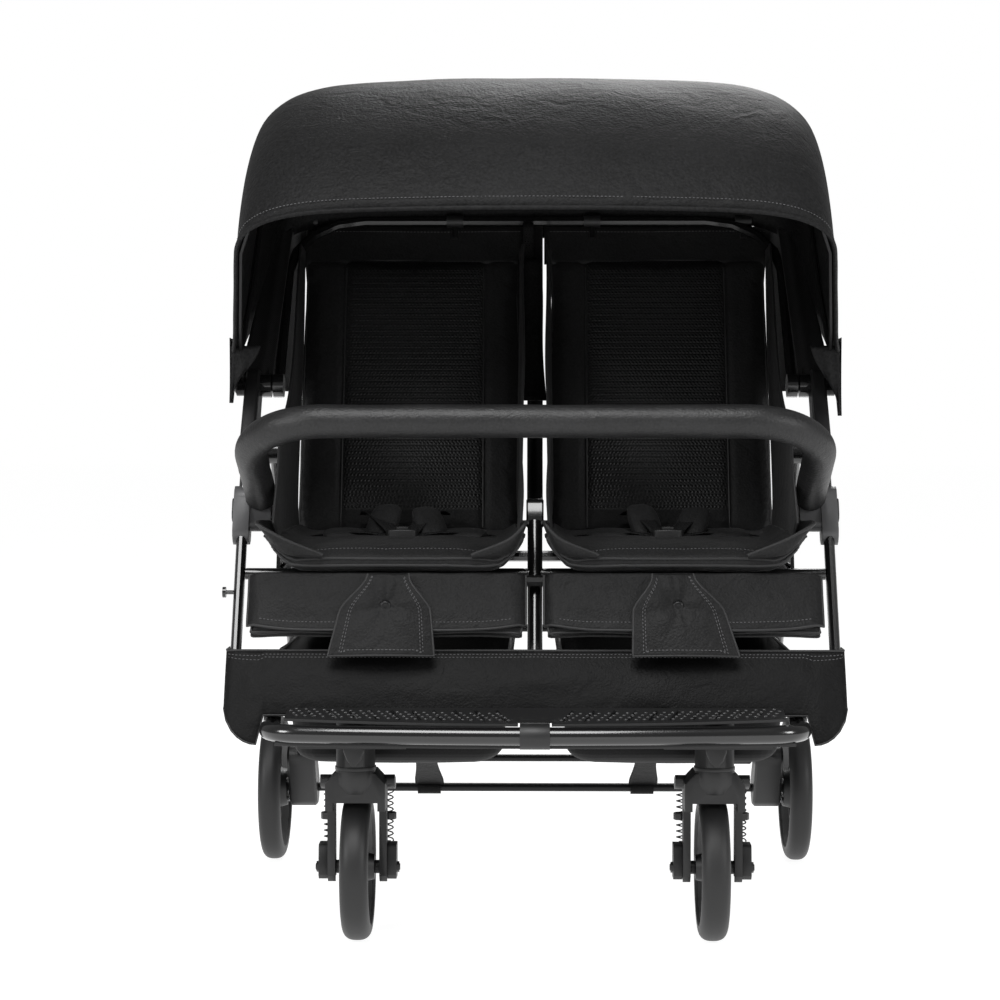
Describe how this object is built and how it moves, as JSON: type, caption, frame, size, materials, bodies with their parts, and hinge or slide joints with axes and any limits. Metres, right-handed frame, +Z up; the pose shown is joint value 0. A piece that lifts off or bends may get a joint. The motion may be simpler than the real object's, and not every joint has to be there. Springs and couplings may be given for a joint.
{
  "type": "double stroller",
  "caption": "Side-by-side folding double stroller with arched canopy, padded bumper bar, two reclining seats, perforated footrest, basket and swivelling front casters.",
  "frame": {"origin": "under the middle of the bounding box, on the floor", "axes": "+X across to the right as seen from the front, +Y from the footrest back to the handle, +Z up"},
  "size_m": [0.763, 0.787, 1.044],
  "materials": {
    "axle_carrier_l": "fine grain",
    "axle_carrier_r": "fine grain",
    "backrest_l": "black woven",
    "backrest_r": "black woven",
    "basket": "black woven",
    "brake_bar": "satin black",
    "brake_pin_l": "plain",
    "brake_pin_r": "plain",
    "bumper_bar": "grained, leather look",
    "bumper_button_l": "fine grain",
    "bumper_button_r": "fine grain",
    "bumper_socket_l": "fine grain",
    "bumper_socket_r": "fine grain",
    "calf_rest_l": "black woven",
    "calf_rest_r": "black woven",
    "canopy_bow_front": "satin black",
    "canopy_bow_mid": "satin black",
    "canopy_front": "charcoal woven",
    "canopy_rear": "charcoal woven",
    "centre_leg": "gloss black",
    "crossbeam": "fine grain",
    "fold_button": "fine grain",
    "foot_bracket_l": "fine grain",
    "foot_bracket_r": "fine grain",
    "footrest_plate": "fine grain",
    "footrest_tray": "fine grain",
    "footrest_tube": "gloss black",
    "fork_l": "fine grain",
    "fork_r": "fine grain",
    "front_hub_l": "fine grain",
    "front_hub_r": "fine grain",
    "front_leg_l": "gloss black",
    "front_leg_r": "gloss black",
    "front_tyre_l": "matt black",
    "front_tyre_r": "matt black",
    "handle_grip": "grained, leather look",
    "handle_tube": "gloss black",
    "harness_l": "black woven",
    "harness_r": "black woven",
    "knuckle_l": "fine grain",
    "knuckle_r": "fine grain",
    "lock_tab_l": "fine grain",
    "lock_tab_r": "fine grain",
    "pivot_bolt_l": "satin black",
    "pivot_bolt_r": "satin black",
    "rear_axle": "satin black",
    "rear_bow": "gloss black",
    "rear_hub_l": "fine grain",
    "rear_hub_r": "fine grain",
    "rear_leg_l": "gloss black",
    "rear_leg_r": "gloss black",
    "rear_tyre_l": "matt black",
    "rear_tyre_r": "matt black",
    "seat_frame": "gloss black",
    "seat_pad_l": "black woven",
    "seat_pad_r": "black woven",
    "spring_l_a": "satin black",
    "spring_l_b": "satin black",
    "spring_r_a": "satin black",
    "spring_r_b": "satin black"
  },
  "bodies": {
    "frame": {"front_leg_l": "front_leg_l", "front_leg_r": "front_leg_r", "footrest_tube": "footrest_tube", "footrest_plate": "footrest_plate", "footrest_tray": "footrest_tray", "crossbeam": "crossbeam", "centre_leg": "centre_leg", "bumper_socket_l": "bumper_socket_l", "bumper_socket_r": "bumper_socket_r", "knuckle_l": "knuckle_l", "knuckle_r": "knuckle_r", "pivot_bolt_l": "pivot_bolt_l", "pivot_bolt_r": "pivot_bolt_r", "seat_frame": "seat_frame", "rear_bow": "rear_bow", "seat_pad_l": "seat_pad_l", "seat_pad_r": "seat_pad_r", "basket": "basket", "harness_l": "harness_l", "harness_r": "harness_r"},
    "handle": {"handle_tube": "handle_tube", "handle_grip": "handle_grip"},
    "fold_button": {"fold_button": "fold_button"},
    "rear_legs": {"rear_leg_l": "rear_leg_l", "rear_leg_r": "rear_leg_r", "rear_axle": "rear_axle", "foot_bracket_l": "foot_bracket_l", "foot_bracket_r": "foot_bracket_r"},
    "brake_bar": {"brake_bar": "brake_bar"},
    "canopy_mid": {"canopy_bow_mid": "canopy_bow_mid", "canopy_rear": "canopy_rear"},
    "canopy_front": {"canopy_bow_front": "canopy_bow_front", "canopy_front": "canopy_front"},
    "bumper": {"bumper_bar": "bumper_bar"},
    "brake_pin_l": {"brake_pin_l": "brake_pin_l"},
    "caster_l": {"fork_l": "fork_l", "spring_l_a": "spring_l_a", "spring_l_b": "spring_l_b"},
    "axle_carrier_l": {"axle_carrier_l": "axle_carrier_l"},
    "front_wheel_l": {"front_tyre_l": "front_tyre_l", "front_hub_l": "front_hub_l"},
    "rear_wheel_l": {"rear_tyre_l": "rear_tyre_l", "rear_hub_l": "rear_hub_l"},
    "backrest_l": {"backrest_l": "backrest_l"},
    "calf_rest_l": {"calf_rest_l": "calf_rest_l"},
    "bumper_button_l": {"bumper_button_l": "bumper_button_l"},
    "lock_tab_l": {"lock_tab_l": "lock_tab_l"},
    "brake_pin_r": {"brake_pin_r": "brake_pin_r"},
    "caster_r": {"fork_r": "fork_r", "spring_r_a": "spring_r_a", "spring_r_b": "spring_r_b"},
    "axle_carrier_r": {"axle_carrier_r": "axle_carrier_r"},
    "front_wheel_r": {"front_tyre_r": "front_tyre_r", "front_hub_r": "front_hub_r"},
    "rear_wheel_r": {"rear_tyre_r": "rear_tyre_r", "rear_hub_r": "rear_hub_r"},
    "backrest_r": {"backrest_r": "backrest_r"},
    "calf_rest_r": {"calf_rest_r": "calf_rest_r"},
    "bumper_button_r": {"bumper_button_r": "bumper_button_r"},
    "lock_tab_r": {"lock_tab_r": "lock_tab_r"}
  },
  "joints": [
    {"name": "handle_fold", "type": "hinge", "parent": "frame", "child": "handle", "pos_m": [0, -0.0465, 0.658], "axis": [1, 0, 0], "range_deg": [-136, 0]},
    {"name": "fold_button_press", "type": "slide", "parent": "handle", "child": "fold_button", "axis": [0, -0.7431, -0.6691], "range_m": [0, 0.003], "stiffness_N_per_m": 400, "springref_m": -0.002},
    {"name": "rear_fold", "type": "hinge", "parent": "frame", "child": "rear_legs", "pos_m": [0, -0.0965, 0.575], "axis": [1, 0, 0], "range_deg": [-46.4, 0]},
    {"name": "brake_pedal", "type": "hinge", "parent": "rear_legs", "child": "brake_bar", "pos_m": [0, 0.2585, 0.146], "axis": [1, 0, 0], "range_deg": [-15, 0]},
    {"name": "brake_pin_l_slide", "type": "slide", "parent": "rear_legs", "child": "brake_pin_l", "axis": [-1, 0, 0], "range_m": [0, 0.005]},
    {"name": "rear_wheel_spin_l", "type": "hinge", "parent": "rear_legs", "child": "rear_wheel_l", "pos_m": [-0.364, 0.2935, 0.1], "axis": [1, 0, 0], "continuous": true},
    {"name": "brake_pin_r_slide", "type": "slide", "parent": "rear_legs", "child": "brake_pin_r", "axis": [1, 0, 0], "range_m": [0, 0.005]},
    {"name": "rear_wheel_spin_r", "type": "hinge", "parent": "rear_legs", "child": "rear_wheel_r", "pos_m": [0.364, 0.2935, 0.1], "axis": [1, 0, 0], "continuous": true},
    {"name": "caster_swivel_l", "type": "hinge", "parent": "frame", "child": "caster_l", "pos_m": [-0.2095, -0.2815, 0.207], "axis": [0, 0, 1], "continuous": true},
    {"name": "suspension_l", "type": "slide", "parent": "caster_l", "child": "axle_carrier_l", "axis": [0, 0, 1], "range_m": [0, 0.01], "stiffness_N_per_m": 4000, "springref_m": -0.012, "deforming": ["spring_l_a", "spring_l_b"]},
    {"name": "front_wheel_spin_l", "type": "hinge", "parent": "axle_carrier_l", "child": "front_wheel_l", "pos_m": [-0.2095, -0.2465, 0.086], "axis": [1, 0, 0], "continuous": true},
    {"name": "caster_swivel_r", "type": "hinge", "parent": "frame", "child": "caster_r", "pos_m": [0.2095, -0.2815, 0.207], "axis": [0, 0, 1], "continuous": true},
    {"name": "suspension_r", "type": "slide", "parent": "caster_r", "child": "axle_carrier_r", "axis": [0, 0, 1], "range_m": [0, 0.01], "stiffness_N_per_m": 4000, "springref_m": -0.012, "deforming": ["spring_r_a", "spring_r_b"]},
    {"name": "front_wheel_spin_r", "type": "hinge", "parent": "axle_carrier_r", "child": "front_wheel_r", "pos_m": [0.2095, -0.2465, 0.086], "axis": [1, 0, 0], "continuous": true},
    {"name": "recline_l", "type": "hinge", "parent": "frame", "child": "backrest_l", "pos_m": [-0.1619, 0.0135, 0.44], "axis": [1, 0, 0], "range_deg": [-35, 0]},
    {"name": "calf_lift_l", "type": "hinge", "parent": "frame", "child": "calf_rest_l", "pos_m": [-0.176, -0.2325, 0.424], "axis": [1, 0, 0], "range_deg": [-64, 0]},
    {"name": "recline_r", "type": "hinge", "parent": "frame", "child": "backrest_r", "pos_m": [0.1619, 0.0135, 0.44], "axis": [1, 0, 0], "range_deg": [-35, 0]},
    {"name": "calf_lift_r", "type": "hinge", "parent": "frame", "child": "calf_rest_r", "pos_m": [0.176, -0.2325, 0.424], "axis": [1, 0, 0], "range_deg": [-64, 0]},
    {"name": "canopy_fold", "type": "hinge", "parent": "frame", "child": "canopy_mid", "pos_m": [0, -0.0465, 0.658], "axis": [1, 0, 0], "range_deg": [-20, 0], "deforming": ["canopy_rear"]},
    {"name": "canopy_front_fold", "type": "hinge", "parent": "canopy_mid", "child": "canopy_front", "pos_m": [0, -0.0465, 0.658], "axis": [1, 0, 0], "range_deg": [-63, 0], "deforming": ["canopy_front"]},
    {"name": "bumper_slide", "type": "slide", "parent": "frame", "child": "bumper", "axis": [0, -0.8942, 0.4478], "range_m": [0, 0.04]},
    {"name": "bumper_button_l_press", "type": "slide", "parent": "frame", "child": "bumper_button_l", "axis": [1, 0, 0], "range_m": [0, 0.002], "stiffness_N_per_m": 600, "springref_m": -0.002},
    {"name": "caster_lock_l", "type": "slide", "parent": "frame", "child": "lock_tab_l", "axis": [0, 0, 1], "range_m": [-0.006, 0]},
    {"name": "bumper_button_r_press", "type": "slide", "parent": "frame", "child": "bumper_button_r", "axis": [-1, 0, 0], "range_m": [0, 0.002], "stiffness_N_per_m": 600, "springref_m": -0.002},
    {"name": "caster_lock_r", "type": "slide", "parent": "frame", "child": "lock_tab_r", "axis": [0, 0, 1], "range_m": [-0.006, 0]}
  ],
  "couplings": [
    {"joint": "rear_fold", "follows": "handle_fold", "ratio": 0.3411},
    {"joint": "canopy_front_fold", "follows": "canopy_fold", "ratio": 3.149},
    {"joint": "brake_pin_l_slide", "follows": "brake_pedal", "m_per_rad": -0.01909},
    {"joint": "brake_pin_r_slide", "follows": "brake_pedal", "m_per_rad": -0.01909}
  ]
}
